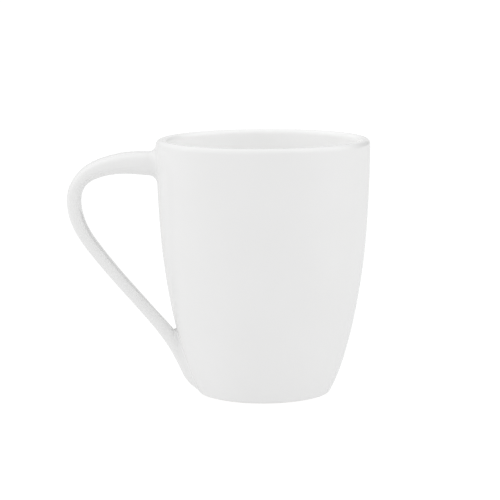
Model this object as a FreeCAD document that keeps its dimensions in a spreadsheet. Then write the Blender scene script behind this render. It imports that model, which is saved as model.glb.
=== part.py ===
import FreeCAD, Part
import math
import os
import Sketcher
from FreeCAD import Vector, Placement, Rotation

# Ceramic mug: a one-piece clay cup, a cast handle bonded to it with slip at
# two places, and three coats of glaze. Millimetres. +Z is up, the origin is
# on the cup's axis in the plane of the foot ring, and the handle points to -X.

doc = FreeCAD.newDocument("CeramicMug")
sheet = doc.addObject("Spreadsheet::Sheet", "Dimensions")
DIM = {}
_row = [0]


def dim(alias, value, note):
    """One driving dimension: a plain number in a cell with an alias."""
    _row[0] += 1
    r = _row[0]
    sheet.set("A%d" % r, alias)
    sheet.set("B%d" % r, "%.6g" % value)
    sheet.set("C%d" % r, note)
    sheet.setAlias("B%d" % r, alias)
    DIM[alias] = float("%.6g" % value)


# ---------------------------------------------------------------- dimensions
# Finished outside of the wall: control points of one cubic spline, from the
# foot to the lip. The last two radii are equal, so it is upright at the lip.
WALL_R = [26.91, 30.6, 35.1, 39.45, 42.3, 43.42, 44.0, 44.0]
WALL_Z = [0.0, 6.54, 20.36, 41.09, 61.83, 82.56, 96.38, 103.29]
for i, (a, b) in enumerate(zip(WALL_R, WALL_Z)):
    dim("wall_reach_%02d" % i, a, "finished outside, control radius")
    dim("wall_up_%02d" % i, b, "finished outside, control height")
dim("lip_round", 2.14, "radius of the full round at the lip, finished")

# Finished inside: from the lip down to the middle of the floor.
WELL_R = [39.72, 39.72, 39.25, 38.0, 35.1, 31.7, 28.6, 18.5, 8.5, 0.0]
WELL_Z = [103.29, 96.38, 82.56, 61.83, 41.09, 23.3, 8.0, 6.45, 6.25, 6.25]
for i, (a, b) in enumerate(zip(WELL_R, WELL_Z)):
    if i > 0:
        dim("well_reach_%02d" % i, a, "finished inside, control radius")
        dim("well_up_%02d" % i, b, "finished inside, control height")

dim("coat", 0.25, "thickness of the glaze")
dim("slip_bed", 0.35, "thickness of the slip between handle and wall")
dim("foot_round", 2.4, "radius of the foot's outer edge, bare clay")
dim("ring_inside", 20.6, "inner radius of the foot ring at the ground")
dim("recess_wall", 19.9, "radius of the recess at its top")
dim("recess_up", 2.0, "depth of the recess inside the foot ring")
dim("ring_round", 0.7, "radius of the foot ring's inner edge")
dim("recess_round", 1.1, "radius in the corner of the recess")
dim("base_reach", 18.7, "radius of the glazed disc in the recess")
dim("glaze_line", 1.3, "height at which the outer glaze stops")
dim("upper_round", 2.7, "radius of the upper joint's fillet, bare clay")
dim("lower_round", 1.0, "radius of the lower joint's fillet, bare clay")
dim("tail_out", 29.815, "end of the handle's tail: a point on its cut")
dim("tail_up", 3.61, "height of that point")
dim("tail_slope", 40.35, "angle of the cut below level, in degrees")

# Handle stations from the upper root to the tail: distance out from the axis,
# height, turn of the section about +Y, finished thickness, finished width.
STATIONS = [
    (38.04, 95.28, -0.4, 10.07, 15.0), (47.04, 95.49, 1.6, 9.7, 14.8),
    (55.03, 95.74, -1.8, 8.93, 14.6), (61.96, 94.96, -10.4, 7.91, 14.3),
    (67.73, 93.41, -21.1, 7.17, 14.0), (72.17, 91.17, -35.6, 6.48, 13.8),
    (75.39, 88.07, -55.1, 5.89, 13.6), (77.41, 84.03, -73.5, 5.87, 13.5),
    (77.86, 79.05, -90.9, 5.79, 13.3), (76.79, 73.21, -108.1, 5.66, 13.1),
    (74.02, 66.8, -120.2, 5.33, 12.8), (68.34, 58.59, -126.8, 5.13, 12.4),
    (60.84, 49.24, -130.7, 4.94, 11.9), (52.99, 40.16, -132.0, 4.88, 11.4),
    (45.8, 31.83, -130.8, 5.01, 11.1), (39.47, 24.09, -126.2, 5.59, 10.9),
    (34.67, 16.47, -118.5, 5.93, 10.7), (31.34, 9.2, -112.4, 5.69, 10.5),
    (28.81, 2.35, -109.7, 5.06, 10.4), (27.2, -2.37, -109.7, 5.0, 10.4),
    (24.2, -10.67, -109.7, 5.0, 10.4), (22.0, -16.87, -109.7, 5.0, 10.4)]
for i, (a, b, c, d, e) in enumerate(STATIONS):
    dim("grip_out_%02d" % i, a, "handle station, distance from the axis")
    dim("grip_up_%02d" % i, b, "handle station, height")
    dim("grip_turn_%02d" % i, c, "handle station, turn of the section")
    dim("grip_thick_%02d" % i, d, "handle station, finished thickness")
    dim("grip_wide_%02d" % i, e, "handle station, finished width")
doc.recompute()


# ------------------------------------------------------------------- helpers
def check(obj):
    """Stop if a feature failed or holds no valid shape."""
    if "Invalid" in obj.State or "Error" in obj.State:
        raise RuntimeError("%s failed: %s" % (obj.Name, obj.State))
    if obj.Shape.isNull() or not obj.Shape.isValid():
        raise RuntimeError("%s has no valid shape" % obj.Name)


def body(name):
    b = doc.addObject("PartDesign::Body", name)
    b.Label = name
    return b


def plane(b, role):
    return [f for f in b.Origin.OriginFeatures if f.Role == role][0]


def sketch(b, name, role="XZ_Plane"):
    sk = b.newObject("Sketcher::SketchObject", name)
    sk.AttachmentSupport = [(plane(b, role), "")]
    sk.MapMode = "FlatFace"
    return sk


def bind(sk, kind, first, second, value, expression):
    """A length constraint that follows the sheet. It is always positive, so
    the two points are swapped when the value would be negative."""
    if value < 0:
        first, second = second, first
        value, expression = -value, "-(%s)" % expression
    n = sk.addConstraint(Sketcher.Constraint(kind, first[0], first[1],
                                             second[0], second[1], value))
    sk.setExpression("Constraints[%d]" % n, expression)


def pin(sk, point, x, z):
    """Fix a sketch point at (x, z), each a (value, expression) pair."""
    for kind, (value, expression), axis in (("DistanceX", x, -2),
                                            ("DistanceY", z, -1)):
        if abs(value) < 1e-9:
            sk.addConstraint(Sketcher.Constraint("PointOnObject", point[0],
                                                 point[1], axis))
        else:
            bind(sk, kind, (-1, 1), point, value, expression)


def spline(sk, points):
    """A cubic spline through its control points, each one pinned."""
    n = len(points)
    curve = Part.BSplineCurve()
    curve.buildFromPolesMultsKnots(
        [Vector(p[0][0], p[1][0], 0) for p in points],
        [4] + [1] * (n - 4) + [4],
        [k / float(n - 3) for k in range(n - 2)], False, 3)
    g = sk.addGeometry(curve, False)
    sk.exposeInternalGeometry(g)
    for i, (x, z) in enumerate(points):
        pin(sk, (g + 1 + i, 3), x, z)
    return g


def line(sk, a, b):
    return sk.addGeometry(Part.LineSegment(Vector(a[0], a[1], 0),
                                           Vector(b[0], b[1], 0)), False)


def meet(sk, g1, p1, g2, p2):
    sk.addConstraint(Sketcher.Constraint("Coincident", g1, p1, g2, p2))


def normals(rs, zs):
    """Unit normals of a control polygon, to the right of its direction."""
    out = []
    for i in range(len(rs)):
        j, k = max(i - 1, 0), min(i + 1, len(rs) - 1)
        dx, dz = rs[k] - rs[j], zs[k] - zs[j]
        d = math.hypot(dx, dz)
        out.append((dz / d, -dx / d))
    return out


def wall_points(grow):
    """Control points of the outer wall, moved out by an expression that is
    nought for the finished surface."""
    value = eval_dim(grow)
    ns = normals(WALL_R, WALL_Z)
    ns[0] = (1.0 / ns[0][0], 0.0)
    ns[-1] = ns[-2] = (1.0, 0.0)
    pts = []
    for i, (nx, nz) in enumerate(ns):
        r, z = DIM["wall_reach_%02d" % i], DIM["wall_up_%02d" % i]
        er = "Dimensions.wall_reach_%02d + (%s) * %.6f" % (i, text(grow), nx)
        ez = "Dimensions.wall_up_%02d + (%s) * %.6f" % (i, text(grow), nz)
        pts.append(((r + value * nx, er), (z + value * nz, ez)))
    return pts


def well_points(grow):
    """The same for the inside; a positive value goes into the clay."""
    value = eval_dim(grow)
    ns = [(-a, -b) for a, b in normals(WELL_R, WELL_Z)]
    ns[0] = ns[1] = (1.0, 0.0)
    ns[-1] = ns[-2] = (0.0, -1.0)
    top = len(WALL_R) - 1
    pts = []
    for i, (nx, nz) in enumerate(ns):
        if i == 0:
            r = DIM["wall_reach_%02d" % top] - 2 * DIM["lip_round"]
            z = DIM["wall_up_%02d" % top]
            er = "Dimensions.wall_reach_%02d - 2 * Dimensions.lip_round" % top
            ez = "Dimensions.wall_up_%02d" % top
        else:
            r, z = DIM["well_reach_%02d" % i], DIM["well_up_%02d" % i]
            er = "Dimensions.well_reach_%02d" % i
            ez = "Dimensions.well_up_%02d" % i
        pts.append(((r + value * nx, "%s + (%s) * %.6f" % (er, text(grow), nx)),
                    (z + value * nz, "%s + (%s) * %.6f" % (ez, text(grow), nz))))
    return pts


def eval_dim(grow):
    return sum(k * DIM[n] for k, n in grow)


def text(grow):
    return " + ".join("%g * Dimensions.%s" % (k, n) for k, n in grow) or "0"


FINISHED = []
CLAY = [(-1, "coat")]
CLAY_IN = [(1, "coat")]
BED = [(-1, "coat"), (1, "slip_bed")]
TOP = len(WALL_R) - 1
LIP_R = "Dimensions.wall_reach_%02d - Dimensions.lip_round" % TOP
LIP_Z = "Dimensions.wall_up_%02d" % TOP


def revolve(b, sk, name):
    doc.recompute()
    check(sk)
    f = b.newObject("PartDesign::Revolution", name)
    f.Profile = sk
    f.ReferenceAxis = (sk, ["V_Axis"])
    f.Angle = 360
    doc.recompute()
    check(f)
    return f


def circle_edge(shape, radius, z):
    """Name of the circular edge of this radius at this height."""
    for i, e in enumerate(shape.Edges):
        c = e.Curve
        if hasattr(c, "Radius") and abs(c.Radius - radius) < 0.02 \
                and abs(c.Center.z - z) < 0.02 and abs(c.Axis.z) > 0.99:
            return "Edge%d" % (i + 1)
    raise RuntimeError("no edge of radius %g at height %g" % (radius, z))


def round_edges(b, base, name, edges, alias):
    f = b.newObject("PartDesign::Fillet", name)
    f.Base = (base, edges)
    f.setExpression("Radius", alias)
    doc.recompute()
    check(f)
    return f


# ------------------------------------------------------------------ cup_body
# Wall, floor and foot ring: one piece of clay, turned about the axis.
cup = body("cup_body")
sk = sketch(cup, "cup_section")
out = wall_points(CLAY)
well = well_points(CLAY_IN)
g_out = spline(sk, out)
g_in = spline(sk, well)
lip_r = DIM["wall_reach_%02d" % TOP] - DIM["lip_round"]
lip_z = DIM["wall_up_%02d" % TOP]
clay_round = DIM["lip_round"] - DIM["coat"]
arc = sk.addGeometry(Part.ArcOfCircle(
    Part.Circle(Vector(lip_r, lip_z, 0), Vector(0, 0, 1), clay_round),
    0.0, math.pi), False)
meet(sk, arc, 1, g_out, 2)
meet(sk, arc, 2, g_in, 1)
sk.addConstraint(Sketcher.Constraint("Horizontal", arc, 3, arc, 1))
zc = well[-1][1][0]
corners = [(0, zc), (0, DIM["recess_up"]),
           (DIM["recess_wall"], DIM["recess_up"]),
           (DIM["ring_inside"], 0), (out[0][0][0], 0)]
ls = [line(sk, corners[i], corners[i + 1]) for i in range(4)]
meet(sk, ls[0], 1, g_in, 2)
for i in range(3):
    meet(sk, ls[i], 2, ls[i + 1], 1)
meet(sk, ls[3], 2, g_out, 1)
sk.addConstraint(Sketcher.Constraint("PointOnObject", ls[0], 2, -2))
bind(sk, "DistanceY", (-1, 1), (ls[0], 2), DIM["recess_up"],
     "Dimensions.recess_up")
sk.addConstraint(Sketcher.Constraint("Horizontal", ls[1]))
bind(sk, "DistanceX", (-1, 1), (ls[1], 2), DIM["recess_wall"],
     "Dimensions.recess_wall")
sk.addConstraint(Sketcher.Constraint("PointOnObject", ls[2], 2, -1))
bind(sk, "DistanceX", (-1, 1), (ls[2], 2), DIM["ring_inside"],
     "Dimensions.ring_inside")
turned = revolve(cup, sk, "turned_wall")
edge = round_edges(cup, turned, "foot_edge",
                   [circle_edge(turned.Shape, out[0][0][0], 0)],
                   "Dimensions.foot_round")
edge = round_edges(cup, edge, "ring_edge",
                   [circle_edge(edge.Shape, DIM["ring_inside"], 0)],
                   "Dimensions.ring_round")
edge = round_edges(cup, edge, "recess_corner",
                   [circle_edge(edge.Shape, DIM["recess_wall"],
                                DIM["recess_up"])],
                   "Dimensions.recess_round")


# ------------------------------------------------------- forms to cut against
DEEP = 14.0


def filled_form(name, grow):
    """The cup's outside as a filled solid up to the crest of the lip. It runs
    on below the ground, straight on from the wall, so that the handle's tail
    meets it all the way."""
    b = body(name)
    s = sketch(b, name + "_section")
    pts = wall_points(grow)
    g = spline(s, pts)
    rr = DIM["lip_round"] + eval_dim(grow)
    a = s.addGeometry(Part.ArcOfCircle(
        Part.Circle(Vector(lip_r, lip_z, 0), Vector(0, 0, 1), rr),
        0.0, math.pi / 2), False)
    meet(s, a, 1, g, 2)
    s.addConstraint(Sketcher.Constraint("Horizontal", a, 3, a, 1))
    s.addConstraint(Sketcher.Constraint("Vertical", a, 3, a, 2))
    n = s.addConstraint(Sketcher.Constraint("Radius", a, rr))
    s.setExpression("Constraints[%d]" % n,
                    "Dimensions.lip_round + (%s)" % text(grow))
    top = lip_z + rr
    (r0, er0), (r1, er1), (z1, ez1) = pts[0][0], pts[1][0], pts[1][1]
    r_low = r0 - DEEP * (r1 - r0) / z1
    l1 = line(s, (lip_r, top), (0, top))
    l2 = line(s, (0, top), (0, -DEEP))
    l3 = line(s, (0, -DEEP), (r_low, -DEEP))
    l4 = line(s, (r_low, -DEEP), (r0, 0))
    meet(s, a, 2, l1, 1)
    meet(s, l1, 2, l2, 1)
    meet(s, l2, 2, l3, 1)
    meet(s, l3, 2, l4, 1)
    meet(s, l4, 2, g, 1)
    s.addConstraint(Sketcher.Constraint("Horizontal", l1))
    pin(s, (l3, 1), (0.0, "0"), (-DEEP, "-%g" % DEEP))
    pin(s, (l3, 2), (r_low, "%s - %g * ((%s) - (%s)) / (%s)" % (
        er0, DEEP, er1, er0, ez1)), (-DEEP, "-%g" % DEEP))
    revolve(b, s, name + "_turned")
    return b


clay_form = filled_form("clay_cup_form", CLAY)
bed_form = filled_form("slip_bed_form", BED)
glazed_form = filled_form("glazed_cup_form", FINISHED)

# -------------------------------------------------------------------- handle
# The section is nearly flat on its outer side and rounder underneath. Its
# control points are worked out once for a section of half sizes 1 by 1.
SIDES = 12


def unit_section():
    q = []
    for i in range(SIDES):
        t = 2 * math.pi * i / SIDES
        c, s = math.cos(t), math.sin(t)
        p = 3.0 if s >= 0 else 2.15
        r = (abs(c) ** p + abs(s) ** p) ** (-1.0 / p)
        q.append((r * c, r * s))
    ctrl = list(q)
    for _ in range(200):
        ctrl = [tuple((6 * q[i][k] - ctrl[i - 1][k]
                       - ctrl[(i + 1) % SIDES][k]) / 4.0 for k in (0, 1))
                for i in range(SIDES)]
    return [(0.0 if abs(x) < 1e-9 else x, 0.0 if abs(z) < 1e-9 else z)
            for x, z in ctrl]


UNIT = unit_section()


def handle_form(name, grow):
    """Handle as a loft through its stations, its tail cut off at a slant.
    It runs on into the wall at both ends."""
    b = body(name)
    value = eval_dim(grow)
    sections = []
    for i in range(len(STATIONS)):
        s = sketch(b, "%s_%02d" % (name, i), "YZ_Plane")
        s.AttachmentOffset = Placement(
            Vector(0, DIM["grip_up_%02d" % i], -DIM["grip_out_%02d" % i]),
            Rotation(Vector(1, 0, 0), DIM["grip_turn_%02d" % i]))
        s.setExpression("AttachmentOffset.Base.y",
                        "Dimensions.grip_up_%02d" % i)
        s.setExpression("AttachmentOffset.Base.z",
                        "-Dimensions.grip_out_%02d" % i)
        s.setExpression("AttachmentOffset.Rotation.Angle",
                        "Dimensions.grip_turn_%02d" % i)
        hw = DIM["grip_wide_%02d" % i] / 2 + value
        ht = DIM["grip_thick_%02d" % i] / 2 + value
        ew = "(Dimensions.grip_wide_%02d / 2 + (%s))" % (i, text(grow))
        et = "(Dimensions.grip_thick_%02d / 2 + (%s))" % (i, text(grow))
        curve = Part.BSplineCurve()
        curve.buildFromPolesMultsKnots(
            [Vector(x * hw, z * ht, 0) for x, z in UNIT],
            [1] * (SIDES + 1), [float(k) for k in range(SIDES + 1)], True, 3)
        g = s.addGeometry(curve, False)
        s.exposeInternalGeometry(g)
        for k, (x, z) in enumerate(UNIT):
            pin(s, (g + 1 + k, 3), (x * hw, "%.8f * %s" % (x, ew)),
                (z * ht, "%.8f * %s" % (z, et)))
        sections.append(s)
    doc.recompute()
    for s in sections:
        check(s)
    loft = b.newObject("PartDesign::AdditiveLoft", name + "_loft")
    loft.Profile = sections[0]
    loft.Sections = sections[1:]
    loft.Ruled = False
    loft.Closed = False
    doc.recompute()
    check(loft)
    return b


def tail_wedge(name, grow):
    """Everything below the slanted cut at the end of the tail."""
    b = body(name)
    value = eval_dim(grow)
    s = sketch(b, name + "_section")
    a = math.radians(DIM["tail_slope"])
    ca, sa = math.cos(a), math.sin(a)
    x0 = -DIM["tail_out"] - value * sa
    z0 = DIM["tail_up"] - value * ca
    ea = "Dimensions.tail_slope"
    pts = []
    for u, v in ((-14.0, 0.0), (24.0, 0.0), (24.0, -32.0), (-14.0, -32.0)):
        # u runs along the cut, down towards the axis; v is square to it
        x = (x0 + u * ca + v * sa,
             "-Dimensions.tail_out - (%s) * sin(%s * 1 deg) "
             "+ (%g) * cos(%s * 1 deg) + (%g) * sin(%s * 1 deg)"
             % (text(grow), ea, u, ea, v, ea))
        z = (z0 - u * sa + v * ca,
             "Dimensions.tail_up - (%s) * cos(%s * 1 deg) "
             "- (%g) * sin(%s * 1 deg) + (%g) * cos(%s * 1 deg)"
             % (text(grow), ea, u, ea, v, ea))
        pts.append((x, z))
    ls = [line(s, (pts[k][0][0], pts[k][1][0]),
               (pts[(k + 1) % 4][0][0], pts[(k + 1) % 4][1][0]))
          for k in range(4)]
    for k in range(4):
        meet(s, ls[k], 2, ls[(k + 1) % 4], 1)
        pin(s, (ls[k], 1), pts[k][0], pts[k][1])
    doc.recompute()
    check(s)
    f = b.newObject("PartDesign::Pad", name + "_pad")
    f.Profile = s
    f.Midplane = True
    f.Length = 40
    doc.recompute()
    check(f)
    return b


def boolean(kind, name, first, second):
    f = doc.addObject("Part::" + kind, name)
    f.Label = name
    f.Base = first
    f.Tool = second
    doc.recompute()
    check(f)
    return f


clay_grip = handle_form("clay_handle_form", CLAY)
glazed_grip = handle_form("glazed_handle_form", FINISHED)
clay_wedge = tail_wedge("clay_tail_wedge", CLAY)
glazed_wedge = tail_wedge("glazed_tail_wedge", FINISHED)

cut_grip = boolean("Cut", "handle_off_the_wall", clay_grip, bed_form)
handle = boolean("Cut", "handle", cut_grip, clay_wedge)


# --------------------------------------------------------------- slip joints
def joined(name, form, grip, wedge, grow):
    """Cup form and handle form in one, with a fillet where they meet and the
    tail cut off at its slant."""
    fuse = boolean("Fuse", name + "_fuse", form, grip)
    upper, lower = [], []
    for i, e in enumerate(fuse.Shape.Edges):
        t0, t1 = e.ParameterRange
        pts = [e.valueAt(t0 + (t1 - t0) * k / 6.0) for k in range(1, 6)]
        if all(form.Shape.Shells[0].distToShape(Part.Vertex(p))[0] < 2e-3 and
               grip.Shape.Shells[0].distToShape(Part.Vertex(p))[0] < 2e-3
               for p in pts):
            if pts[2].z > 60:
                upper.append(i + 1)
            elif min(p.z for p in pts) > -DEEP + 0.1:
                lower.append(i + 1)
    less = eval_dim(grow) + DIM["coat"]
    ru, rl = DIM["upper_round"] - less, DIM["lower_round"] - less
    smooth = doc.addObject("Part::Fillet", name + "_fillets")
    smooth.Base = fuse
    smooth.Edges = [(k, ru, ru) for k in upper] + [(k, rl, rl) for k in lower]
    doc.recompute()
    check(smooth)
    off = boolean("Cut", name + "_cut_off", wedge, form)
    return boolean("Cut", name, smooth, off)


clay_all = joined("clay_joined", clay_form, clay_grip, clay_wedge, CLAY)
glazed_all = joined("glazed_joined", glazed_form, glazed_grip, glazed_wedge,
                    FINISHED)
slip_and_cup = boolean("Cut", "slip_without_handle", clay_all, handle)
slip = boolean("Cut", "slip", slip_and_cup, clay_form)


def zone(name, low, high):
    """A box round one of the joints."""
    f = doc.addObject("Part::Box", name)
    f.Length, f.Width, f.Height = 60, 40, high - low
    f.Placement = Placement(Vector(-75, -20, low), Rotation())
    doc.recompute()
    check(f)
    return f


upper_slip = boolean("Common", "upper_slip_joint", slip,
                     zone("upper_zone", 70, 110))
lower_slip = boolean("Common", "lower_slip_joint", slip,
                     zone("lower_zone", -12, 60))


# -------------------------------------------------------------------- glazes
# Inside: from the crest of the lip down the wall and over the floor.
liner = body("inside_glaze")
sk = sketch(liner, "liner_section")
inner, outer = well_points(FINISHED), well_points(CLAY_IN)
g1, g2 = spline(sk, inner), spline(sk, outer)
arcs = []
for r, g in ((DIM["lip_round"], g1), (clay_round, g2)):
    a = sk.addGeometry(Part.ArcOfCircle(
        Part.Circle(Vector(lip_r, lip_z, 0), Vector(0, 0, 1), r),
        math.pi / 2, math.pi), False)
    meet(sk, a, 2, g, 1)
    sk.addConstraint(Sketcher.Constraint("Horizontal", a, 3, a, 2))
    sk.addConstraint(Sketcher.Constraint("Vertical", a, 3, a, 1))
    arcs.append(a)
n = sk.addConstraint(Sketcher.Constraint("Radius", arcs[0], DIM["lip_round"]))
sk.setExpression("Constraints[%d]" % n, "Dimensions.lip_round")
n = sk.addConstraint(Sketcher.Constraint("Radius", arcs[1], clay_round))
sk.setExpression("Constraints[%d]" % n,
                 "Dimensions.lip_round - Dimensions.coat")
l1 = line(sk, (lip_r, lip_z + DIM["lip_round"]), (lip_r, lip_z + clay_round))
meet(sk, l1, 1, arcs[0], 1)
meet(sk, l1, 2, arcs[1], 1)
l2 = line(sk, (0, inner[-1][1][0]), (0, outer[-1][1][0]))
meet(sk, l2, 1, g1, 2)
meet(sk, l2, 2, g2, 2)
revolve(liner, sk, "liner")

# Underneath: a thin disc in the recess of the foot.
base = body("base_glaze")
sk = sketch(base, "base_section")
z1, z0 = DIM["recess_up"], DIM["recess_up"] - DIM["coat"]
r1 = DIM["base_reach"]
ls = [line(sk, (0, z0), (r1 - 0.2, z0)), line(sk, (r1 - 0.2, z0), (r1, z1)),
      line(sk, (r1, z1), (0, z1)), line(sk, (0, z1), (0, z0))]
for k in range(4):
    meet(sk, ls[k], 2, ls[(k + 1) % 4], 1)
zu = ("Dimensions.recess_up", "Dimensions.recess_up - Dimensions.coat")
pin(sk, (ls[0], 1), (0.0, "0"), (z0, zu[1]))
pin(sk, (ls[1], 1), (r1 - 0.2, "Dimensions.base_reach - 0.2"), (z0, zu[1]))
pin(sk, (ls[2], 1), (r1, "Dimensions.base_reach"), (z1, zu[0]))
pin(sk, (ls[3], 1), (0.0, "0"), (z1, zu[0]))
revolve(base, sk, "base_disc")

# Outside: the finished form less the bare one, from just above the foot to
# the crest of the lip, where it meets the liner.
skin = boolean("Cut", "skin", glazed_all, clay_all)
crest = doc.addObject("Part::Cylinder", "inside_the_crest")
crest.setExpression("Radius", LIP_R)
crest.Height = 12
crest.Placement = Placement(Vector(0, 0, 100), Rotation())
below = doc.addObject("Part::Cylinder", "below_the_glaze")
below.Radius = 70
below.Height = 30
below.setExpression("Placement.Base.z", "Dimensions.glaze_line - 30")
doc.recompute()
check(crest)
check(below)
open_skin = boolean("Cut", "open_skin", skin, crest)
outside = boolean("Cut", "outside_glaze", open_skin, below)

# --------------------------------------------------------------------- export
PIECES = [cup, handle, upper_slip, lower_slip, liner, outside, base]
doc.recompute()
for o in doc.Objects:
    if "Invalid" in o.State or "Error" in o.State:
        raise RuntimeError("%s failed: %s" % (o.Name, o.State))
for o in PIECES:
    if o.Shape.isNull() or not o.Shape.isValid() or not o.Shape.Solids:
        raise RuntimeError("%s has no valid solid" % o.Label)
    if len(o.Shape.Solids) != 1:
        raise RuntimeError("%s is %d solids" % (o.Label, len(o.Shape.Solids)))
os.makedirs("parts", exist_ok=True)
for o in PIECES:
    o.Shape.exportStep(os.path.join("parts", o.Label + ".step"))
    print("%-18s %9.1f mm3  %d faces" % (o.Label, o.Shape.Volume,
                                         len(o.Shape.Faces)))
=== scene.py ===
import math

import bpy
import numpy as np
from mathutils import Matrix, Vector

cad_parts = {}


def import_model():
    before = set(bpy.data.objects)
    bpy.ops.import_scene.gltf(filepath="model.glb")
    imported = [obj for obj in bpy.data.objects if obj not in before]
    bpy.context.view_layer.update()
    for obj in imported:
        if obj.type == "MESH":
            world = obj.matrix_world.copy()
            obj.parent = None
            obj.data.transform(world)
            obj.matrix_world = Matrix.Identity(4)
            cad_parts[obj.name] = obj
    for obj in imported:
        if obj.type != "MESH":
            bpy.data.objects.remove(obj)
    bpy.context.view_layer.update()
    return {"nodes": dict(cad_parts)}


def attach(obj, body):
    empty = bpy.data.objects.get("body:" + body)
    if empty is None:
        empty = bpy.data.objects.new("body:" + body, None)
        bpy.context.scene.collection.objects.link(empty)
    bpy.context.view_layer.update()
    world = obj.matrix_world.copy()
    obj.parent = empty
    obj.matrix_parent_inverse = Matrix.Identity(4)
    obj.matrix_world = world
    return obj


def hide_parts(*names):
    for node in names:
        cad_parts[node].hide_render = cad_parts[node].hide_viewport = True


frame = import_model()
MM = 0.001

# Sizes below are millimetres, in the frame of the CAD model: Z up, the foot on
# z = 0, the handle on the -X side.


# ------------------------------------------------------------------ profile
WALL_R = [26.91, 30.6, 35.1, 39.45, 42.3, 43.42, 44.0, 44.0]
WALL_Z = [0.0, 6.54, 20.36, 41.09, 61.83, 82.56, 96.38, 103.29]
WELL_R = [39.72, 39.72, 39.25, 38.0, 35.1, 31.7, 28.6, 18.5, 8.5, 0.0]
WELL_Z = [103.29, 96.38, 82.56, 61.83, 41.09, 23.3, 8.0, 6.45, 6.25, 6.25]
LIP = 2.14
COAT = 0.25
FOOT = 2.4          # bare clay radius of the foot's outer edge
STATIONS = [
    (38.04, 95.28, 10.07, 15.0), (47.04, 95.49, 9.7, 14.8),
    (55.03, 95.74, 8.93, 14.6), (61.96, 94.96, 7.91, 14.3),
    (67.73, 93.41, 7.17, 14.0), (72.17, 91.17, 6.48, 13.8),
    (75.39, 88.07, 5.89, 13.6), (77.41, 84.03, 5.87, 13.5),
    (77.86, 79.05, 5.79, 13.3), (76.79, 73.21, 5.66, 13.1),
    (74.02, 66.8, 5.33, 12.8), (68.34, 58.59, 5.13, 12.4),
    (60.84, 49.24, 4.94, 11.9), (52.99, 40.16, 4.88, 11.4),
    (45.8, 31.83, 5.01, 11.1), (39.47, 24.09, 5.59, 10.9),
    (34.67, 16.47, 5.93, 10.7), (31.34, 9.2, 5.69, 10.5),
    (28.81, 2.35, 5.06, 10.4), (27.2, -2.37, 5.0, 10.4),
    (24.2, -10.67, 5.0, 10.4)]
TAIL = (-29.815, 3.61, 40.35)
P_OUT, P_IN = 3.0, 2.15
R_UP, R_LOW, R_SIDE = 3.2, 1.9, 3.0


def bspline(ctrl, n):
    """Points on a clamped uniform cubic B-spline with these control points."""
    ctrl = np.asarray(ctrl, float)
    m = len(ctrl)
    kn = np.concatenate([[0.0] * 3, np.linspace(0, 1, m - 2), [1.0] * 3])
    t = np.linspace(0, 1, n)
    t[-1] = 1 - 1e-12
    b = np.array([(t >= kn[i]) & (t < kn[i + 1]) for i in range(m + 3)], float)
    for k in range(1, 4):
        nb = np.zeros((m + 3 - k, n))
        for i in range(m + 3 - k):
            if kn[i + k] > kn[i]:
                nb[i] += (t - kn[i]) / (kn[i + k] - kn[i]) * b[i]
            if kn[i + k + 1] > kn[i + 1]:
                nb[i] += (kn[i + k + 1] - t) / (kn[i + k + 1] - kn[i + 1]) * b[i + 1]
        b = nb
    return b.T @ ctrl


def arc(cx, cz, r, a0, a1, n):
    a = np.radians(np.linspace(a0, a1, n))
    return np.stack([cx + r * np.cos(a), cz + r * np.sin(a)], 1)


def tangents(p):
    d = np.gradient(p, axis=0)
    return d / np.linalg.norm(d, axis=1)[:, None]


def length_along(p):
    return np.concatenate([[0], np.cumsum(np.linalg.norm(np.diff(p, axis=0), axis=1))])


def at(p, s, q):
    return np.stack([np.interp(q, s, p[:, k]) for k in range(p.shape[1])], 1)


LIP_R, LIP_Z = WALL_R[-1] - LIP, WALL_Z[-1]


def outer_profile(n=3000):
    """Finished outside from the crest of the lip down to the glaze's end on the rounded foot, and on under the
    foot. Returns the lip's arc, the wall, the foot's rounding and the rounding's centre."""
    w = bspline(list(zip(WALL_R, WALL_Z)), n)[::-1]
    d = tangents(w)
    nrm = np.stack([-d[:, 1], d[:, 0]], 1)
    r = FOOT + COAT
    cz = w[:, 1] - r * nrm[:, 1]
    k = int(np.argmin(np.abs(cz - FOOT) + 1e3 * (w[:, 1] > 20)))
    c = w[k] - r * nrm[k]
    a0 = math.degrees(math.atan2(nrm[k, 1], nrm[k, 0]))
    lip = arc(LIP_R, LIP_Z, LIP, 90, 0, 200)
    foot = arc(c[0], c[1], r, a0, -90, 160)[1:]
    return lip, w[1:k + 1], foot, c


def well_profile(grow=0.0, n=1500):
    w = bspline(list(zip(WELL_R, WELL_Z)), n)
    w[0] = (LIP_R - LIP, LIP_Z)
    d = tangents(w)
    nrm = np.stack([-d[:, 1], d[:, 0]], 1)      # away from the drink, into the clay?
    lip = arc(LIP_R, LIP_Z, LIP, 90, 180, 200)
    p = np.concatenate([lip[:-1], w])
    return p


LIPA, WALLA, FOOTA, FOOT_C = outer_profile()
OUT = np.concatenate([LIPA, WALLA, FOOTA])
OUT_S = length_along(OUT)
GLAZE_END_Z = 0.45
END_S = float(np.interp(-GLAZE_END_Z, -OUT[:, 1], OUT_S))


# --------------------------------------------------------------- implicit cup
def resample(p, step):
    s = length_along(p)
    n = int(s[-1] / step) + 1
    return at(p, s, np.linspace(0, s[-1], n))


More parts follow.
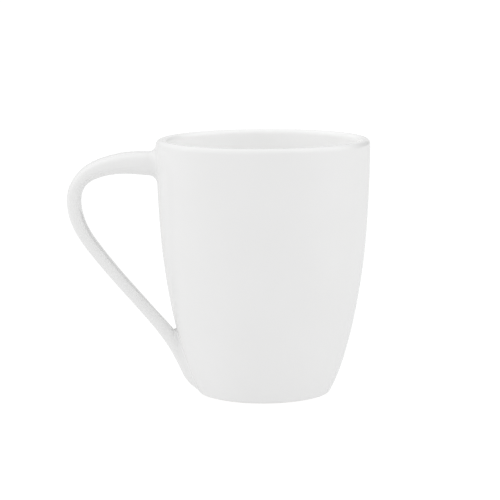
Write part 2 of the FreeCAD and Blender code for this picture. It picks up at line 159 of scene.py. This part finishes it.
class Curve:
    """Signed distance to an open curve in a plane; positive on the left of
    its direction when side is 1."""

    def __init__(self, p, step, side):
        self.p = resample(p, step)
        d = tangents(self.p)
        self.n = np.stack([-d[:, 1], d[:, 0]], 1) * side

    def query(self, q):
        """Nearest index as a real number, signed distance and unit normal."""
        out_i = np.empty(len(q)); 
        P = self.p
        best = np.empty(len(q), int)
        for a in range(0, len(q), 4096):
            c = q[a:a + 4096]
            d = (c[:, None, 0] - P[None, :, 0]) ** 2 + (c[:, None, 1] - P[None, :, 1]) ** 2
            best[a:a + 4096] = d.argmin(1)
        i0 = np.clip(best - 1, 0, len(P) - 2)
        res = None
        for base in (i0, np.clip(best, 0, len(P) - 2)):
            A, B = P[base], P[base + 1]
            ab = B - A
            t = ((q - A) * ab).sum(1) / (ab ** 2).sum(1)
            lo = np.where(base == 0, -50.0, 0.0); hi = np.where(base == len(P) - 2, 50.0, 1.0)
            t = np.clip(t, lo, hi)
            c = A + ab * t[:, None]
            dd = ((q - c) ** 2).sum(1)
            if res is None:
                res = [dd, base + t, c]
            else:
                m = dd < res[0]
                res[0] = np.where(m, dd, res[0])
                res[1] = np.where(m, base + t, res[1])
                res[2] = np.where(m[:, None], c, res[2])
        f = np.clip(res[1], 0, len(P) - 1)
        i = np.clip(f.astype(int), 0, len(P) - 2)
        w = (f - i)[:, None]
        n = self.n[i] * (1 - w) + self.n[i + 1] * w
        n /= np.linalg.norm(n, axis=1)[:, None]
        d = ((q - res[2]) * n).sum(1)
        return f, d, n


def cup_curve(step):
    tail = FOOTA[-1] + np.array([[-1.0, 0.0], [-30.0, 0.0]])
    return Curve(np.concatenate([np.array([[20.0, OUT[0, 1]]]), OUT, tail]), step, 1)


def cup_field(c, P):
    r = np.hypot(P[:, 0], P[:, 1])
    f, d, n = c.query(np.stack([r, P[:, 2]], 1))
    g = np.stack([n[:, 0] * P[:, 0] / r, n[:, 0] * P[:, 1] / r, n[:, 1]], 1)
    return d, g


# ------------------------------------------------------------ implicit handle
def natural(x, y, q):
    """Natural cubic spline through (x, y), evaluated at q; y may have columns."""
    x = np.asarray(x, float); y = np.asarray(y, float)
    n = len(x); h = np.diff(x)
    A = np.zeros((n, n)); B = np.zeros((n,) + y.shape[1:])
    A[0, 0] = A[-1, -1] = 1
    for i in range(1, n - 1):
        A[i, i - 1], A[i, i], A[i, i + 1] = h[i - 1], 2 * (h[i - 1] + h[i]), h[i]
        B[i] = 6 * ((y[i + 1] - y[i]) / h[i] - (y[i] - y[i - 1]) / h[i - 1])
    m = np.linalg.solve(A, B)
    i = np.clip(np.searchsorted(x, q) - 1, 0, n - 2)
    t = (q - x[i])
    sh = (-1,) + (1,) * (y.ndim - 1)
    t, hi = t.reshape(sh), h[i].reshape(sh)
    a, b = m[i], m[i + 1]
    return (a * (hi - t) ** 3 + b * t ** 3) / (6 * hi) + (y[i] / hi - a * hi / 6) * (hi - t) + (y[i + 1] / hi - b * hi / 6) * t


class Handle:
    def __init__(self, stations, step=0.4):
        st = np.asarray(stations, float)
        pts = np.stack([-st[:, 0], st[:, 1]], 1)
        s = length_along(pts)
        q = np.linspace(0, s[-1], 4000)
        fine = natural(s, pts, q)
        s2 = length_along(fine)
        # length at the stations, then everything as a function of true length
        ks = np.interp(s, q, s2)
        n = int(s2[-1] / step) + 1
        u = np.linspace(0, s2[-1], n)
        self.s = u
        self.curve = Curve.__new__(Curve)
        self.curve.p = at(fine, s2, u)
        d = tangents(self.curve.p)
        self.curve.n = np.stack([d[:, 1], -d[:, 0]], 1)   # outward: up on the top arm
        self.b = natural(ks, st[:, 2] / 2, u)
        self.a = natural(ks, st[:, 3] / 2, u)
        self.step = u[1]

    def field(self, P):
        f, v, n = self.curve.query(P[:, [0, 2]])
        a = np.interp(f, np.arange(len(self.a)), self.a)
        b = np.interp(f, np.arange(len(self.b)), self.b)
        u = P[:, 1]
        p = np.where(v >= 0, P_OUT, P_IN)
        eu, ev = np.abs(u / a) + 1e-9, np.abs(v / b) + 1e-9
        N = (eu ** p + ev ** p) ** (1 / p)
        gu = N ** (1 - p) * eu ** (p - 1) * np.sign(u) / a
        gv = N ** (1 - p) * ev ** (p - 1) * np.sign(v) / b
        m = np.hypot(gu, gv)
        d = (N - 1) / m
        g = np.stack([gv * n[:, 0], gu, gv * n[:, 1]], 1) / m[:, None]
        return d, g

    def section(self, s, cols):
        """Ring of points at length s: cols points evenly spaced round the
        section, from the middle of the inner side towards +Y."""
        i = s / self.step
        c = np.array([np.interp(i, np.arange(len(self.s)), self.curve.p[:, k]) for k in (0, 1)])
        n = np.array([np.interp(i, np.arange(len(self.s)), self.curve.n[:, k]) for k in (0, 1)])
        n /= np.linalg.norm(n)
        a = np.interp(s, self.s, self.a); b = np.interp(s, self.s, self.b)
        t = np.linspace(-math.pi / 2, 1.5 * math.pi, 2881)
        cs, sn = np.cos(t), np.sin(t)
        p = np.where(sn >= 0, P_OUT, P_IN)
        r = (np.abs(cs) ** p + np.abs(sn) ** p) ** (-1 / p)
        q = np.stack([a * r * cs, b * r * sn], 1)
        L = length_along(q)
        q = at(q, L, np.linspace(0, L[-1], cols + 1)[:-1])
        return np.stack([c[0] + n[0] * q[:, 1], q[:, 0], c[1] + n[1] * q[:, 1]], 1)


def round_union(a, ga, b, gb, r):
    u, v = np.maximum(r - a, 0), np.maximum(r - b, 0)
    L = np.sqrt(u ** 2 + v ** 2) + 1e-12
    lo = np.minimum(a, b)
    f = np.maximum(r, lo) - L
    g = (u[:, None] * ga + v[:, None] * gb) / L[:, None]
    far = lo >= r
    g = np.where(far[:, None], np.where((a < b)[:, None], ga, gb), g)
    f = np.where(far, lo, f)
    return f, g


def round_cut(a, ga, b, gb, r):
    f, g = round_union(-a, -ga, -b, -gb, r)
    return -f, -g


TA = math.radians(TAIL[2])
TN = np.array([-math.sin(TA), 0, -math.cos(TA)])
TP = np.array([TAIL[0], 0, TAIL[1]])


def field(cup, handle, P):
    dc, gc = cup_field(cup, P)
    dh, gh = handle.field(P)
    dh = np.where(P[:, 0] > -20, 60.0, dh)
    dp = (P - TP) @ TN
    gp = np.broadcast_to(TN, gh.shape)
    dh2, gh2 = round_cut(dh, gh, dp, gp, 0.5)
    low = P[:, 2] < 45
    dh = np.where(low, dh2, dh); gh = np.where(low[:, None], gh2, gh)
    # the tail dies out just above the foot's edge
    lift = np.maximum(1.15 - P[:, 2], 0)
    dh = dh + 1.5 * lift
    gh = gh - 1.5 * (lift > 0)[:, None] * np.array([0, 0, 1.0])
    w = np.clip((P[:, 2] - 35) / 30, 0, 1)
    r = R_LOW + (R_UP - R_LOW) * w * w * (3 - 2 * w)
    w = np.clip((22.5 - P[:, 2]) / 10, 0, 1)
    r = r + (R_SIDE - R_LOW) * w * w * (3 - 2 * w)
    w = np.clip((P[:, 2] - 0.8) / 3.0, 0, 1)
    r = r * (0.04 + 0.96 * w)
    return round_union(dc, gc, dh, gh, r)


def project(cup, handle, P, n=2, cap=0.6):
    for _ in range(n):
        f, g = field(cup, handle, P)
        q = (g ** 2).sum(1)
        st = f / np.maximum(q, 0.3)
        st = np.clip(st, -cap, cap)
        P = P - st[:, None] * g
    return P

def relax(cup, handle, G, rounds, verbose=False):
    """G is rows x cols x 3, closed round its columns; its first and last row
    stay. Evens the grid out while it stays on the surface."""
    R, C, _ = G.shape
    for it in range(rounds):
        up, dn = G[:-2], G[2:]
        lf, rt = np.roll(G, 1, 1)[1:-1], np.roll(G, -1, 1)[1:-1]
        avg = (up + dn + lf + rt) / 4
        mid = G[1:-1] + 0.8 * (avg - G[1:-1])
        G[1:-1] = project(cup, handle, mid.reshape(-1, 3), 1).reshape(R - 2, C, 3)
    G[1:-1] = project(cup, handle, G[1:-1].reshape(-1, 3), 4).reshape(R - 2, C, 3)
    return G


NTH = 240           # columns round the cup
HALF = 12           # half width of each window, in columns
ROWS = 32           # rows in each window
COLS = 2 * (2 * HALF + ROWS)   # 112


def row_lengths():
    """Rows of the cup's grid as lengths from the crest: denser where the two
    windows are."""
    zs = lambda z: float(np.interp(-z, -OUT[:, 1], OUT_S))
    up0, up1 = 0.55, zs(84.2)
    lo0, lo1 = zs(32.6), END_S - 0.35
    top = np.linspace(0, up0, 2)[:-1]
    # upper window: finer over the lip
    u = np.linspace(0, 1, ROWS + 1)
    upper = up0 + (up1 - up0) * (0.62 * u + 0.38 * u ** 2)
    mid_n = 44
    lower_u = np.linspace(0, 1, ROWS + 1)
    lower = lo0 + (lo1 - lo0) * (1.22 * lower_u - 0.22 * lower_u ** 2)
    a = upper[-1] - upper[-2]; b = lower[1] - lower[0]
    # blend spacing across the middle
    w = np.linspace(0, 1, mid_n + 1)
    sp = a + (b - a) * w
    bump = 1 + 0 * w
    c = np.concatenate([[0], np.cumsum(sp[:-1])]); 
    c = c / c[-1]
    mid = up1 + (lo0 - up1) * c
    rows = np.concatenate([top, upper, mid[1:-1], lower, [END_S]])
    return rows, len(top), len(top) + ROWS, len(top) + ROWS + mid_n, len(top) + 2 * ROWS + mid_n


def surf(theta, t):
    rz = at(OUT, OUT_S, t)
    return np.stack([rz[:, 0] * np.cos(theta), rz[:, 0] * np.sin(theta), rz[:, 1]], 1)


def border(j0, j1, rows, start_top):
    """Grid indices round a window, from the middle of its bottom (or its top)
    towards +Y. Columns are counted from the one at -X."""
    c = []
    if not start_top:
        # theta = pi at middle; +Y side is theta < pi, that is column -k
        c += [(-k, j1) for k in range(0, HALF)]
        c += [(-HALF, j) for j in range(j1, j0, -1)]
        c += [(k, j0) for k in range(-HALF, HALF)]
        c += [(HALF, j) for j in range(j0, j1)]
        c += [(k, j1) for k in range(HALF, 0, -1)]
    else:
        c += [(-k, j0) for k in range(0, HALF)]
        c += [(-HALF, j) for j in range(j0, j1)]
        c += [(k, j1) for k in range(-HALF, HALF)]
        c += [(HALF, j) for j in range(j1, j0, -1)]
        c += [(k, j0) for k in range(HALF, 0, -1)]
    return c


def loft_rows(A, B, n, power=1.0):
    w = np.linspace(0, 1, n + 1) ** power
    return A[None] * (1 - w[:, None, None]) + B[None] * w[:, None, None]


def build(rounds=(60, 90)):
    cup = cup_curve(0.3); H = Handle(STATIONS, 0.4)
    rows, j0u, j1u, j0l, j1l = row_lengths()
    th = math.pi + np.arange(NTH) * 2 * math.pi / NTH      # column 0 at -X
    T, S = np.meshgrid(th, rows)                            # rows x cols
    grid = surf(T.ravel(), S.ravel()).reshape(len(rows), NTH, 3)
    out = {}
    bu = border(j0u, j1u, rows, False); bl = border(j0l, j1l, rows, True)
    BU = np.array([grid[j, k % NTH] for k, j in bu]); BL = np.array([grid[j, k % NTH] for k, j in bl])
    # handle tube between the two patches
    s_up, s_lo = 14.0, 103.0
    n_t = 118
    ring_s = np.linspace(s_up, s_lo, n_t + 1)
    tube = np.array([H.section(s, COLS) for s in ring_s])
    # ---- upper patch: window border -> root on the wall -> tube
    root = H.section(6.4, COLS)
    # push the root ring out a little and on to the cup
    c = root.mean(0); root = c + (root - c) * 1.25
    n1, n2 = 12, 16
    gu = np.concatenate([loft_rows(BU, root, n1), loft_rows(root, tube[0], n2)[1:]])
    # ---- lower patch
    # ring of the tail projected to the wall: columns follow the handle surface down
    zt = []
    base = H.section(103.0, COLS)
    fr = np.arange(COLS) / COLS
    # loop on the cup round the tail, as an oval in height and width
    ang = 2 * math.pi * fr           # 0 at the top, towards +Y
    zc, hz = 14.6, 13.6
    loop = []
    for a_ in ang:
        z = zc + hz * math.cos(a_)
        y = 6.6 * (abs(math.sin(a_)) ** 0.7) * math.copysign(1, math.sin(a_))
        t = np.interp(-z, -OUT[:, 1], OUT_S); r = np.interp(t, OUT_S, OUT[:, 0])
        x = -math.sqrt(max(r * r - y * y, 0))
        loop.append((x, y, z))
    loop = np.array(loop)
    # middle ring: half way up the tail
    midr = H.section(112.0, COLS)
    m1, m2 = 8, 44
    gl = np.concatenate([loft_rows(BL, loop, m1), loft_rows(loop, tube[-1], m2)[1:]])
    gu[1:-1] = project(cup, H, gu[1:-1].reshape(-1, 3), 6).reshape(gu[1:-1].shape)
    gu = relax(cup, H, gu, rounds[0])
    gl[1:-1] = project(cup, H, gl[1:-1].reshape(-1, 3), 10).reshape(gl[1:-1].shape)
    gl = relax(cup, H, gl, rounds[1])
    return dict(cup=cup, H=H, rows=rows, grid=grid, gu=gu, gl=gl, tube=tube, win=(j0u, j1u, j0l, j1l), bu=bu, bl=bl)


def assemble(B):
    """Vertices and quads of the open outer surface."""
    grid, gu, gl, tube = B['grid'], B['gu'], B['gl'], B['tube']
    R = len(B['rows'])
    V = []; idx = -np.ones((R, NTH), int)
    j0u, j1u, j0l, j1l = B['win']
    def inside(j, k, j0, j1, strict):
        kk = (k + NTH // 2) % NTH - NTH // 2
        if strict: return j0 < j < j1 and -HALF < kk < HALF
        return j0 <= j <= j1 and -HALF <= kk <= HALF
    for j in range(R):
        for k in range(NTH):
            if inside(j, k, j0u, j1u, True) or inside(j, k, j0l, j1l, True): continue
            idx[j, k] = len(V); V.append(grid[j, k])
    B['foot_first'] = int(idx[R - 1, 0])
    F = []
    for j in range(R - 1):
        for k in range(NTH):
            kk = (k + NTH // 2) % NTH - NTH // 2
            skip = any(j0 <= j < j1 and -HALF <= kk < HALF for j0, j1 in ((j0u, j1u), (j0l, j1l)))
            if skip: continue
            a, b, c, d = idx[j, k], idx[j, (k + 1) % NTH], idx[j + 1, (k + 1) % NTH], idx[j + 1, k]
            F.append((a, d, c, b))
    def add_rows(G):
        ids = []
        for row in G:
            r = []
            for p in row:
                r.append(len(V)); V.append(p)
            ids.append(r)
        return ids
    ub = [idx[j, k % NTH] for k, j in B['bu']]
    lb = [idx[j, k % NTH] for k, j in B['bl']]
    uid = [ub] + add_rows(gu[1:-1])
    tid = add_rows(tube)
    lid = [lb] + add_rows(gl[1:-1])
    def strip(a, b, flip):
        n = len(a)
        for i in range(n):
            q = (a[i], a[(i + 1) % n], b[(i + 1) % n], b[i])
            F.append(q[::-1] if flip else q)
    seq = uid + tid
    for a, b in zip(seq[:-1], seq[1:]): strip(a, b, True)
    seq = lid + [tid[-1]]
    for a, b in zip(seq[:-1], seq[1:]): strip(a, b, False)
    return np.array(V), np.array(F)



# ---------------------------------------------------------------- materials
def nodes_of(name):
    m = bpy.data.materials.new(name)
    m.use_nodes = True
    t = m.node_tree
    t.nodes.clear()
    out = t.nodes.new("ShaderNodeOutputMaterial")
    p = t.nodes.new("ShaderNodeBsdfPrincipled")
    t.links.new(p.outputs["BSDF"], out.inputs["Surface"])
    c = t.nodes.new("ShaderNodeTexCoord")
    return m, t, p, c.outputs["Object"]


def noise(t, co, scale, detail=3.0, rough=0.5, dist=0.0):
    n = t.nodes.new("ShaderNodeTexNoise")
    n.inputs["Scale"].default_value = scale
    n.inputs["Detail"].default_value = detail
    n.inputs["Roughness"].default_value = rough
    n.inputs["Distortion"].default_value = dist
    t.links.new(co, n.inputs["Vector"])
    return n.outputs["Fac"]


def ramp(t, fac, stops):
    r = t.nodes.new("ShaderNodeValToRGB")
    e = r.color_ramp.elements
    while len(e) < len(stops):
        e.new(0.5)
    for k, (pos, col) in zip(e, stops):
        k.position = pos
        k.color = (*col, 1.0)
    t.links.new(fac, r.inputs["Fac"])
    return r.outputs["Color"]


def span(t, fac, a, b, lo, hi, kind="LINEAR"):
    m = t.nodes.new("ShaderNodeMapRange")
    m.interpolation_type = kind
    for k, v in (("From Min", a), ("From Max", b), ("To Min", lo), ("To Max", hi)):
        m.inputs[k].default_value = v
    t.links.new(fac, m.inputs["Value"])
    return m.outputs["Result"]


def maths(t, op, a, b=None):
    m = t.nodes.new("ShaderNodeMath")
    m.operation = op
    for i, v in enumerate((a, b)):
        if v is None:
            continue
        if isinstance(v, (int, float)):
            m.inputs[i].default_value = v
        else:
            t.links.new(v, m.inputs[i])
    return m.outputs["Value"]


def bump(t, p, height, strength, dist, prev=None):
    b = t.nodes.new("ShaderNodeBump")
    b.inputs["Strength"].default_value = strength
    b.inputs["Distance"].default_value = dist
    t.links.new(height, b.inputs["Height"])
    if prev is not None:
        t.links.new(prev, b.inputs["Normal"])
    t.links.new(b.outputs["Normal"], p.inputs["Normal"])
    return b.outputs["Normal"]


def glaze_material(name, low, high):
    """Clear-topped white glaze: slow waves where it ran, a fine skin, tiny
    tone changes where it pooled and a little less where it thinned."""
    m, t, p, co = nodes_of(name)
    slow = noise(t, co, 38.0, 2.0, 0.45)
    fine = noise(t, co, 420.0, 2.0, 0.5)
    tone = ramp(t, slow, [(0.30, (low, low, low - 0.003)), (0.70, (high, high, high - 0.002))])
    t.links.new(tone, p.inputs["Base Color"])
    t.links.new(span(t, fine, 0.3, 0.7, 0.075, 0.115), p.inputs["Roughness"])
    p.inputs["IOR"].default_value = 1.5
    n = bump(t, p, slow, 0.35, 0.00020)
    bump(t, p, fine, 0.10, 0.000006, n)
    return m


def clay_material():
    """Bare fired clay where the foot was wiped: matte, warm, a fine sandy grain with a few darker specks."""
    m, t, p, co = nodes_of("bare_clay")
    cloud = noise(t, co, 120.0, 4.0, 0.55)
    sand = noise(t, co, 4200.0, 2.0, 0.6)
    tone = ramp(t, cloud, [(0.25, (0.76, 0.735, 0.69)), (0.75, (0.85, 0.83, 0.795))])
    spots = span(t, noise(t, co, 1500.0, 1.0, 0.5), 0.70, 0.78, 0.0, 0.35, "SMOOTHSTEP")
    mix = t.nodes.new("ShaderNodeMix")
    mix.data_type = "RGBA"
    t.links.new(spots, mix.inputs["Factor"])
    t.links.new(tone, mix.inputs["A"])
    mix.inputs["B"].default_value = (0.46, 0.40, 0.33, 1)
    t.links.new(mix.outputs["Result"], p.inputs["Base Color"])
    t.links.new(span(t, sand, 0.3, 0.7, 0.70, 0.88), p.inputs["Roughness"])
    n = bump(t, p, cloud, 0.25, 0.00008)
    bump(t, p, sand, 0.6, 0.00004, n)
    return m


def slip_material():
    """The liquid clay of the joints: a shade darker, brushed on."""
    m, t, p, co = nodes_of("joint_slip")
    cloud = noise(t, co, 300.0, 3.0, 0.5, 0.6)
    grain = noise(t, co, 3000.0, 2.0, 0.5)
    tone = ramp(t, cloud, [(0.3, (0.70, 0.68, 0.64)), (0.7, (0.79, 0.775, 0.74))])
    t.links.new(tone, p.inputs["Base Color"])
    t.links.new(span(t, grain, 0.3, 0.7, 0.62, 0.8), p.inputs["Roughness"])
    n = bump(t, p, cloud, 0.4, 0.0001)
    bump(t, p, grain, 0.4, 0.00003, n)
    return m


# the inside takes a copy of the same white glaze painted lighter, which stands in for the light inside the cup; the
# outside copy is a shade darker, painted shade for its creases
GLAZE = glaze_material("white_glaze", 0.930, 0.945)
GLAZE_PAINTED_LIGHTER = glaze_material("white_glaze_painted_lighter", 0.980, 0.990)
CLAY, SLIP = clay_material(), slip_material()


# ------------------------------------------------------------------- meshes
def make(name, verts, faces, normals, material):
    """A mesh object from millimetre points, shaded with the true normals."""
    me = bpy.data.meshes.new(name)
    me.from_pydata((np.asarray(verts) * MM).tolist(), [], [list(map(int, f)) for f in faces])
    me.validate()
    me.polygons.foreach_set("use_smooth", np.ones(len(me.polygons), bool))
    me.update()
    n = np.asarray(normals, float)
    n = n / np.linalg.norm(n, axis=1)[:, None]
    me.normals_split_custom_set_from_vertices(n.tolist())
    me.materials.append(material)
    ob = bpy.data.objects.new(name, me)
    bpy.context.scene.collection.objects.link(ob)
    return ob


def close_skin(V, F, N, thick, borders):
    """Gives an open skin a back, thick below it, and closes its borders. Each
    border is a ring of vertices."""
    n = len(V)
    back = V - N * thick
    faces = [tuple(f) for f in F] + [tuple(int(i) + n for i in f[::-1]) for f in F]
    for ring, flip in borders:
        m = len(ring)
        for i in range(m):
            a, b = int(ring[i]), int(ring[(i + 1) % m])
            q = (a, b, b + n, a + n)
            faces.append(q[::-1] if flip else q)
    return np.concatenate([V, back]), faces, np.concatenate([N, -N])


def outside_skin():
    made = build()
    V, F = assemble(made)
    f, g = field(cup_curve(0.08), Handle(STATIONS, 0.15), V)
    N = g / np.linalg.norm(g, axis=1)[:, None]
    top = list(range(NTH))
    end = list(range(made["foot_first"], made["foot_first"] + NTH))
    return close_skin(V, F, N, COAT, [(top, False), (end, True)])


def revolve_skin(prof, norm, thick):
    """A skin of revolution about Z from a profile that ends on the axis."""
    th = math.pi + np.arange(NTH) * 2 * math.pi / NTH
    V, N, F = [], [], []
    for (r, z), (nr, nz) in zip(prof[:-1], norm[:-1]):
        for t in th:
            V.append((r * math.cos(t), r * math.sin(t), z))
            N.append((nr * math.cos(t), nr * math.sin(t), nz))
    V.append((0, 0, prof[-1][1])); N.append((0, 0, norm[-1][1]))
    rows = len(prof) - 1
    for j in range(rows - 1):
        for k in range(NTH):
            a, b = j * NTH + k, j * NTH + (k + 1) % NTH
            F.append((a, b, b + NTH, a + NTH))
    last = (rows - 1) * NTH
    for k in range(NTH):
        F.append((last + k, last + (k + 1) % NTH, rows * NTH))
    return np.array(V), F, np.array(N)


def inside_skin():
    p = well_profile()
    s = length_along(p)
    s1 = float(np.interp(0.5, np.arange(len(p)) / len(p), s))
    lip = np.linspace(0, math.pi * LIP / 2, 13)
    rest = np.linspace(lip[-1], s[-1] - 0.7, 120)[1:]
    q = np.concatenate([lip, rest, [s[-1]]])
    prof = at(p, s, q)
    d = tangents(p)
    nrm = np.stack([d[:, 1], -d[:, 0]], 1)
    n = at(nrm, s, q)
    n /= np.linalg.norm(n, axis=1)[:, None]
    n[0] = (0, 1); n[-1] = (0, 1)
    prof[-1, 0] = 0
    V, F, N = revolve_skin(prof, n, COAT)
    return close_skin(V, F, N, COAT, [(list(range(NTH)), True)])


def base_skin():
    """The glaze in the recess of the foot: a thin pool with a round, slightly
    uneven edge."""
    n, V, N, F = 10, [], [], []
    th = math.pi + np.arange(NTH) * 2 * math.pi / NTH
    reach = 18.45 + 0.14 * np.sin(3 * th + 0.7) + 0.09 * np.sin(7 * th + 2.0) + 0.05 * np.sin(13 * th)
    rows = [(1.0, a) for a in np.linspace(0, math.pi / 2, n)] + [(f, math.pi / 2) for f in
            (0.93, 0.84, 0.72, 0.58, 0.44, 0.30, 0.17, 0.07)]
    for f, a in rows:
        for t, R in zip(th, reach):
            r = R * f - 0.32 + 0.32 * math.cos(a) if f == 1.0 else (R - 0.32) * f
            z = 2.02 - 0.30 * math.sin(a)
            V.append((r * math.cos(t), r * math.sin(t), z))
            N.append((math.cos(t) * math.cos(a), math.sin(t) * math.cos(a), -math.sin(a)))
    V.append((0, 0, 1.72)); N.append((0, 0, -1.0))
    k = len(rows)
    for j in range(k - 1):
        for i in range(NTH):
            a, b = j * NTH + i, j * NTH + (i + 1) % NTH
            F.append((a, a + NTH, b + NTH, b))
    for i in range(NTH):
        F.append(((k - 1) * NTH + i, k * NTH, (k - 1) * NTH + (i + 1) % NTH))
    V.append((0, 0, 2.02)); N.append((0, 0, 1.0))
    for i in range(NTH):
        F.append((i, (i + 1) % NTH, k * NTH + 1))
    return np.array(V), F, np.array(N)


outer = make("glaze_outside", *outside_skin(), GLAZE)
# the inside skin takes the glaze copy painted lighter: painted light inside the cup
inner = make("glaze_inside", *inside_skin(), GLAZE_PAINTED_LIGHTER)
base = make("glaze_base", *base_skin(), GLAZE)
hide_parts("outside_glaze")
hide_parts("inside_glaze")
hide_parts("base_glaze")
for piece in (outer, inner, base):
    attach(piece, "root")


def dress(node, material):
    ob = frame["nodes"][node]
    if not ob.material_slots:
        ob.data.materials.append(material)
    for s in ob.material_slots:
        s.material = material


for node, material in (("cup_body", CLAY), ("handle", CLAY), ("upper_slip_joint", SLIP),
                       ("lower_slip_joint", SLIP)):
    dress(node, material)


# ------------------------------------------------------------ floor and light
def floor():
    me = bpy.data.meshes.new("floor")
    a, z = 20.0, -0.00002
    me.from_pydata([(-a, -a, z), (a, -a, z), (a, a, z), (-a, a, z)], [], [(0, 1, 2, 3)])
    m, t, p, co = nodes_of("floor_white")
    tone = ramp(t, noise(t, co, 3.0), [(0.3, (0.195, 0.195, 0.195)), (0.7, (0.205, 0.205, 0.205))])
    t.links.new(tone, p.inputs["Base Color"])
    p.inputs["Roughness"].default_value = 1.0
    p.inputs["Specular IOR Level"].default_value = 0.0
    p.inputs["Emission Color"].default_value = (1, 1, 1, 1)
    # the sweep is lit to white where it is seen, and sends less than that
    # back up on to the mug
    ray = t.nodes.new("ShaderNodeLightPath")
    t.links.new(span(t, ray.outputs["Is Camera Ray"], 0, 1, FLOOR_LIGHT, FLOOR_GLOW),
                p.inputs["Emission Strength"])
    m.cycles.emission_sampling = "NONE"
    me.materials.append(m)
    ob = bpy.data.objects.new("floor", me)
    bpy.context.scene.collection.objects.link(ob)
    return ob


FLOOR_GLOW, FLOOR_LIGHT = 0.88, 0.64
floor()


def aim(az, el):
    """Direction towards a light: az from the camera's side towards the right,
    el above the floor."""
    a, e = math.radians(az), math.radians(el)
    return (math.sin(a) * math.cos(e), -math.cos(a) * math.cos(e), math.sin(e))


def world():
    """A white studio: bright walls, a dimmer end behind the mug, soft panels."""
    w = bpy.data.worlds.new("studio")
    bpy.context.scene.world = w
    w.use_nodes = True
    t = w.node_tree
    t.nodes.clear()
    out = t.nodes.new("ShaderNodeOutputWorld")
    bg = t.nodes.new("ShaderNodeBackground")
    t.links.new(bg.outputs["Background"], out.inputs["Surface"])
    co = t.nodes.new("ShaderNodeTexCoord").outputs["Generated"]
    total = None
    for az, el, inner_a, outer_a, gain in WORLD_LOBES:
        d = t.nodes.new("ShaderNodeVectorMath")
        d.operation = "DOT_PRODUCT"
        t.links.new(co, d.inputs[0])
        d.inputs[1].default_value = aim(az, el)
        v = span(t, d.outputs["Value"], math.cos(math.radians(outer_a)),
                 math.cos(math.radians(inner_a)), 0.0, gain, "SMOOTHSTEP")
        total = v if total is None else maths(t, "ADD", total, v)
    total = maths(t, "ADD", total, WORLD_BASE)
    t.links.new(total, bg.inputs["Strength"])


WORLD_BASE = 0.93
WORLD_LOBES = [
    # azimuth, elevation, full inside, nothing outside, gain
    (0, 90, 0, 40, -0.02),
    (-90, 10, 0, 34, 0.165),
    (-60, 10, 0, 34, 0.25),
    (-30, 10, 0, 34, 0.20),
    (90, 10, 0, 34, 0.30),
    (135, 10, 0, 34, -0.80),
    (-135, 10, 0, 34, -0.05),
    (-150, 46, 0, 46, 0.23),
    (-90, 46, 0, 46, 0.51),
    (90, 46, 0, 46, 0.72),
    (150, 46, 0, 46, -0.12),
]
world()


def camera():
    cam = bpy.data.objects.new("camera", bpy.data.cameras.new("camera"))
    bpy.context.scene.collection.objects.link(cam)
    place = Vector((-1.43, -945.7, 198.23)) * MM
    pitch, yaw, roll = math.radians(8.36), math.radians(-0.253), math.radians(-0.364)
    fwd = Vector((math.sin(yaw) * math.cos(pitch), math.cos(yaw) * math.cos(pitch), -math.sin(pitch)))
    rt = fwd.cross(Vector((0, 0, 1))).normalized()
    up = rt.cross(fwd)
    right = rt * math.cos(roll) + up * math.sin(roll)
    above = -rt * math.sin(roll) + up * math.cos(roll)
    m = Matrix((right, above, -fwd)).transposed().to_4x4()
    m.translation = place
    cam.matrix_world = m
    cam.data.sensor_width = 36.0
    cam.data.lens = 2313.7 / 500 * 36.0
    cam.data.clip_start, cam.data.clip_end = 0.01, 60.0
    cam.data.dof.use_dof = False
    bpy.context.scene.camera = cam


camera()
# white ware lights itself: let the light inside the cup bounce on
bpy.context.scene.cycles.max_bounces = 24
bpy.context.scene.cycles.diffuse_bounces = 20
bpy.context.scene.view_settings.view_transform = "Standard"
bpy.context.scene.view_settings.look = "None"
